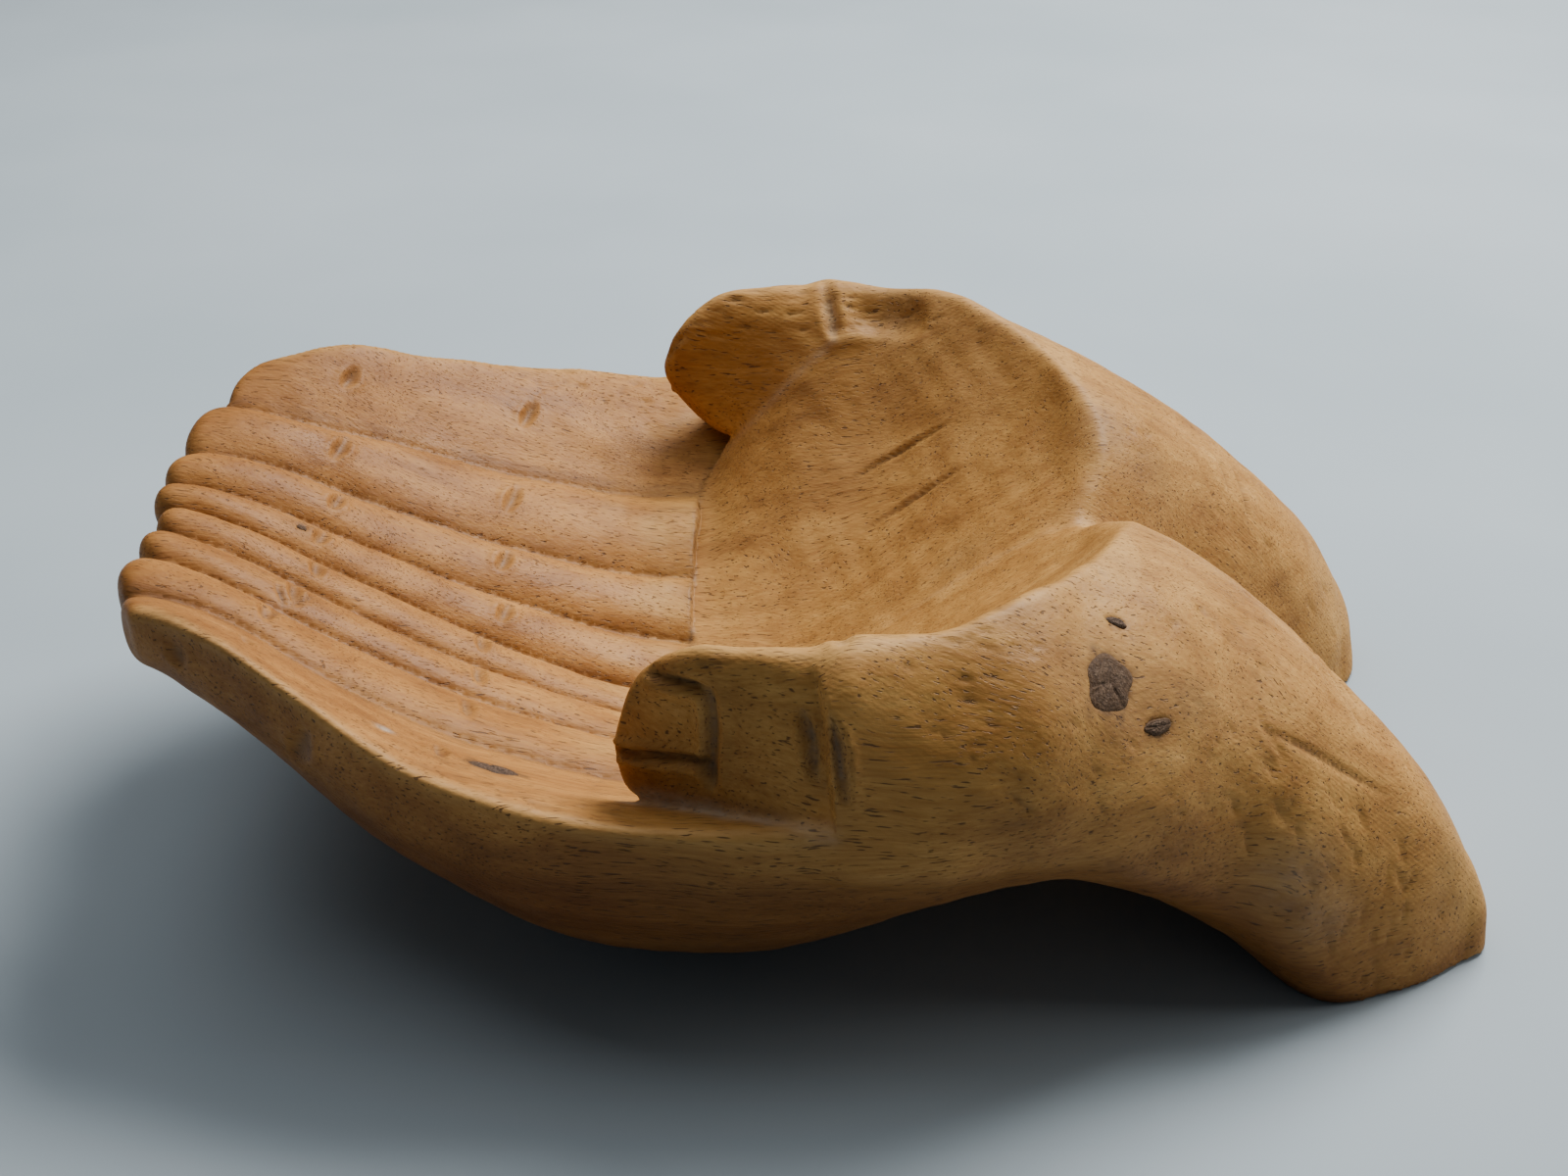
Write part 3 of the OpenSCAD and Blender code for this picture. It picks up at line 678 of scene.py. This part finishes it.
def make_wood():
    m = bpy.data.materials.new("carved_wood")
    m.use_nodes = True
    t = m.node_tree
    t.nodes.clear()
    mm, p, streak, fibre, pore, mott, rings = wood_nodes(t)
    tone = math_(t, "ADD", math_(t, "MULTIPLY", streak, 0.52), math_(t, "MULTIPLY", mott, 0.36))
    tone = math_(t, "ADD", tone, math_(t, "MULTIPLY", rings, 0.06))
    col = ramp(t, tone, [(0.22, (0.240, 0.105, 0.024)), (0.40, (0.400, 0.200, 0.050)), (0.53, (0.500, 0.268, 0.072)), (0.74, (0.640, 0.375, 0.120))])
    # fingers a little pinker than the palms
    x = node(t, "ShaderNodeSeparateXYZ", {0: mm}).outputs[0]
    col = mix(t, remap(t, x, -20, -45, 0.0, 1.0), col, (0.92, 0.82, 0.76), "MULTIPLY")
    col = mix(t, remap(t, x, -55, -120, 0.0, 1.0), col, (0.80, 0.76, 0.76), "MULTIPLY")
    # painted shade on the down- and outward-facing faces of the side mask
    col = mix(t, attr(t, "side"), col, (0.47, 0.37, 0.33), "MULTIPLY")
    col = mix(t, remap(t, fibre, 0.28, 0.72, 0.0, 0.75), col, (0.66, 0.53, 0.43), "MULTIPLY")
    speck = noise(t, vmul(t, mm, (0.55, 1.0, 1.0)), 4.0, 0.75)
    col = mix(t, remap(t, speck, 0.35, 0.70, 0.0, 0.35), col, (1.25, 1.22, 1.18), "MULTIPLY")
    patchiness = remap(t, noise(t, vmul(t, mm, (0.25, 0.5, 0.5)), 3.0, 0.6), 0.3, 0.7, 0.45, 1.0)
    # wear and painted highlight: lighter gold on the crest, the finger rims, the thumb tops and the finger ridges
    wr = math_(t, "MULTIPLY", attr(t, "wear_and_highlight"), patchiness, True)
    col = mix(t, wr, col, (0.64, 0.385, 0.135))
    # dark: stains, knot rims and cut lines, and painted shade in the finger valleys and at the foot of the step
    dk = math_(t, "MULTIPLY", attr(t, "dark"), patchiness, True)
    col = mix(t, dk, col, (0.060, 0.030, 0.016))
    patch = remap(t, noise(t, vmul(t, mm, (0.07, 0.11, 0.11)), 3.0, 0.7), 0.62, 0.80, 0.0, 0.20)
    col = mix(t, patch, col, (0.155, 0.080, 0.040))
    col = mix(t, math_(t, "MULTIPLY", pore, 0.80), col, (0.075, 0.034, 0.016))
    ds = math_(t, "MULTIPLY", attr(t, "dust"), patchiness, True)
    col = mix(t, ds, col, (0.47, 0.40, 0.31))
    rg = remap(t, mott, 0.3, 0.7, 0.46, 0.60)
    rg = math_(t, "ADD", rg, math_(t, "MULTIPLY", math_(t, "MAXIMUM", attr(t, "dust"), attr(t, "rasp")), 0.20), True)
    # rasp and knife scratches, in two directions, where the tools left them
    s1 = node(t, "ShaderNodeTexWave", {"Vector": vmul(t, mm, (0.6, 1.0, 0.8)), "Scale": 0.42, "Distortion": 9.0, "Detail": 3.0, "Detail Scale": 0.35}, wave_type="BANDS", bands_direction="DIAGONAL").outputs[1]
    s2 = node(t, "ShaderNodeTexWave", {"Vector": vmul(t, mm, (-0.7, 0.5, 0.9)), "Scale": 0.33, "Distortion": 11.0, "Detail": 3.0, "Detail Scale": 0.3}, wave_type="BANDS", bands_direction="DIAGONAL").outputs[1]
    scr = math_(t, "MULTIPLY", math_(t, "ADD", s1, s2), math_(t, "ADD", math_(t, "MULTIPLY", attr(t, "rasp"), 0.05), 0.03))
    hgt = math_(t, "ADD", math_(t, "MULTIPLY", fibre, 0.35), scr)
    hgt = math_(t, "SUBTRACT", hgt, math_(t, "MULTIPLY", pore, 0.55))
    hgt = math_(t, "ADD", hgt, math_(t, "MULTIPLY", noise(t, vmul(t, mm, (0.35, 0.6, 0.6)), 3.0, 0.6), 0.5))
    bump = node(t, "ShaderNodeBump", {"Strength": 0.8, "Distance": 0.0004, "Height": hgt}).outputs[0]
    bsdf = node(t, "ShaderNodeBsdfPrincipled", {"Base Color": col, "Roughness": rg, "Normal": bump})
    bsdf.inputs["Specular IOR Level"].default_value = 0.17
    bsdf.inputs["Coat Weight"].default_value = 0.02
    bsdf.inputs["Coat Roughness"].default_value = 0.32
    out = node(t, "ShaderNodeOutputMaterial", {0: bsdf.outputs[0]})
    return m

def make_knot(name, dark, mid, light):
    m = bpy.data.materials.new(name)
    m.use_nodes = True
    t = m.node_tree
    t.nodes.clear()
    obj = node(t, "ShaderNodeTexCoord").outputs["Object"]
    mm = vmul(t, obj, (1000, 1000, 1000))
    n1 = noise(t, vmul(t, mm, (0.9, 0.9, 0.9)), 4.0, 0.65)
    n2 = noise(t, vmul(t, mm, (2.6, 0.8, 1.6)), 3.0, 0.6)
    rad = attr(t, "rad")
    rr = math_(t, "ADD", math_(t, "MULTIPLY", rad, 15.0), math_(t, "MULTIPLY", n1, 14.0))
    ring = remap(t, math_(t, "SINE", rr), -1, 1)
    f = math_(t, "ADD", math_(t, "MULTIPLY", ring, 0.14), math_(t, "MULTIPLY", n2, 0.85))
    col = ramp(t, f, [(0.25, dark), (0.52, mid), (0.80, light)])
    edge = math_(t, "ADD", rad, math_(t, "MULTIPLY", math_(t, "SUBTRACT", n1, 0.5), 1.1))
    col = mix(t, remap(t, edge, 0.55, 1.0, 0.0, 0.75), col, tuple(0.5 * a + 0.5 * b for a, b in zip(mid, (0.10, 0.05, 0.02))))
    hgt = math_(t, "ADD", math_(t, "MULTIPLY", ring, 0.4), n2)
    bump = node(t, "ShaderNodeBump", {"Strength": 0.7, "Distance": 0.0004, "Height": hgt}).outputs[0]
    bsdf = node(t, "ShaderNodeBsdfPrincipled", {"Base Color": col, "Roughness": remap(t, n1, 0.3, 0.7, 0.5, 0.8), "Normal": bump})
    bsdf.inputs["Specular IOR Level"].default_value = 0.12
    node(t, "ShaderNodeOutputMaterial", {0: bsdf.outputs[0]})
    return m

wood = make_wood()
hands.data.materials.append(wood)
dark_knot = make_knot("dark_knot_wood", (0.038, 0.021, 0.012), (0.095, 0.056, 0.033), (0.210, 0.140, 0.090))
grey_knot = make_knot("grey_knot_wood", (0.036, 0.022, 0.015), (0.090, 0.056, 0.038), (0.19, 0.125, 0.085))
for ob, k in knot_objs:
    ob.data.materials.append(grey_knot if k["slot"] == "grey_knot" else dark_knot)

# --- floor, light and camera
bm = bmesh.new()
bmesh.ops.create_grid(bm, x_segments=8, y_segments=8, size=5.0)
me = bpy.data.meshes.new("floor")
bm.to_mesh(me)
bm.free()
floor = bpy.data.objects.new("floor", me)
floor.location = (0, 0, -0.0004)
bpy.context.scene.collection.objects.link(floor)
fm = bpy.data.materials.new("floor_paper")
fm.use_nodes = True
ft = fm.node_tree
ft.nodes.clear()
fo = node(ft, "ShaderNodeTexCoord").outputs["Object"]
fcol = ramp(ft, noise(ft, fo, 3.0, 0.5, 5.0), [(0.35, (0.33, 0.395, 0.44)), (0.65, (0.37, 0.435, 0.48))])
fb = node(ft, "ShaderNodeBsdfPrincipled", {"Base Color": fcol, "Roughness": 0.85})
node(ft, "ShaderNodeOutputMaterial", {0: fb.outputs[0]})
me.materials.append(fm)

def area(name, loc, target, size, power, colour):
    ld = bpy.data.lights.new(name, "AREA")
    ld.shape = "RECTANGLE"
    ld.size, ld.size_y = size
    ld.energy = power
    ld.color = colour
    lo = bpy.data.objects.new(name, ld)
    lo.location = loc
    lo.rotation_euler = (Vector(target) - Vector(loc)).to_track_quat("-Z", "Y").to_euler()
    bpy.context.scene.collection.objects.link(lo)
    return lo

area("window", (0.62, 0.78, 1.30), (0, 0, 0.05), (1.0, 0.8), 52, (1.0, 0.985, 0.955))
area("overhead", (-0.55, 0.35, 1.5), (0, 0, 0), (1.4, 1.0), 9, (0.97, 0.98, 1.0))
area("front_fill", (0.9, -1.3, 0.7), (0, 0, 0.04), (1.2, 1.0), 0.2, (1.0, 0.97, 0.94))
area("side_window", (1.45, 0.05, 0.62), (0.05, 0, 0.05), (0.7, 0.8), 7, (1.0, 0.975, 0.94))

w = bpy.data.worlds.new("studio")
bpy.context.scene.world = w
w.use_nodes = True
bg = w.node_tree.nodes.get("Background")
bg.inputs[0].default_value = (0.80, 0.87, 0.93, 1)
bg.inputs[1].default_value = 0.10

cd = bpy.data.cameras.new("camera")
cd.lens = 49.1
cd.sensor_width = 36.0
cam = bpy.data.objects.new("camera", cd)
cam.location = (-SHIFT * 0.001, -0.454, 0.294)
cam.rotation_euler = (math.radians(62), 0, 0)
bpy.context.scene.collection.objects.link(cam)
bpy.context.scene.camera = cam
